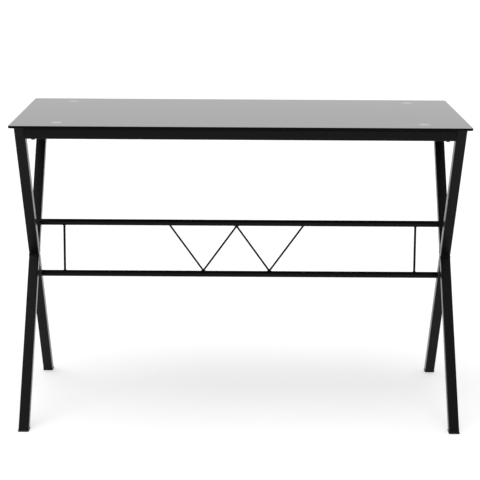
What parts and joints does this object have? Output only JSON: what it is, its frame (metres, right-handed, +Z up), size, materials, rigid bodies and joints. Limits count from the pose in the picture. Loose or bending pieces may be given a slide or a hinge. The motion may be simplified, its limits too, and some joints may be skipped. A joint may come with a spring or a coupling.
{
  "type": "computer desk",
  "caption": "Black glass-topped writing desk on crossed square-tube side frames, tied by front and back rails and a low stretcher truss with a bent zigzag rod.",
  "frame": {"origin": "on the floor under the middle of the desk", "axes": "+X to the right of someone sitting at the desk and along its length, +Y to the back, +Z up"},
  "size_m": [1.1, 0.5664, 0.75],
  "materials": {
    "powder_coat": "black powder coat with a low gloss",
    "black_glass": "tempered glass, black on its underside, polished above",
    "black_plastic": "moulded black plastic",
    "black_zinc": "black zinc on steel",
    "satin_steel": "satin steel",
    "clear_rubber": "translucent soft rubber"
  },
  "bodies": {
    "root": {"back_left_pad": "clear_rubber", "back_middle_pad": "clear_rubber", "back_rail": "powder_coat", "back_right_pad": "clear_rubber", "front_left_pad": "clear_rubber", "front_middle_pad": "clear_rubber", "front_rail": "powder_coat", "front_right_pad": "clear_rubber", "glass_top": "black_glass", "left_back_foot": "black_plastic", "left_back_glass_disc": "satin_steel", "left_back_glass_screw": "black_zinc", "left_back_glass_tab": "powder_coat", "left_back_rail_bolt": "black_zinc", "left_back_rail_spigot": "powder_coat", "left_end_rod": "powder_coat", "left_front_foot": "black_plastic", "left_front_glass_disc": "satin_steel", "left_front_glass_screw": "black_zinc", "left_front_glass_tab": "powder_coat", "left_front_rail_bolt": "black_zinc", "left_front_rail_spigot": "powder_coat", "left_long_leg": "powder_coat", "left_lower_half_leg": "powder_coat", "left_lower_stretcher_bolt": "black_zinc", "left_lower_stretcher_insert": "satin_steel", "left_side_pad": "clear_rubber", "left_side_rail": "powder_coat", "left_upper_half_leg": "powder_coat", "left_upper_stretcher_bolt": "black_zinc", "left_upper_stretcher_insert": "satin_steel", "lower_stretcher": "powder_coat", "right_back_foot": "black_plastic", "right_back_glass_disc": "satin_steel", "right_back_glass_screw": "black_zinc", "right_back_glass_tab": "powder_coat", "right_back_rail_bolt": "black_zinc", "right_back_rail_spigot": "powder_coat", "right_end_rod": "powder_coat", "right_front_foot": "black_plastic", "right_front_glass_disc": "satin_steel", "right_front_glass_screw": "black_zinc", "right_front_glass_tab": "powder_coat", "right_front_rail_bolt": "black_zinc", "right_front_rail_spigot": "powder_coat", "right_long_leg": "powder_coat", "right_lower_half_leg": "powder_coat", "right_lower_stretcher_bolt": "black_zinc", "right_lower_stretcher_insert": "satin_steel", "right_side_pad": "clear_rubber", "right_side_rail": "powder_coat", "right_upper_half_leg": "powder_coat", "right_upper_stretcher_bolt": "black_zinc", "right_upper_stretcher_insert": "satin_steel", "upper_stretcher": "powder_coat", "zigzag_rod": "powder_coat"}
  },
  "joints": []
}
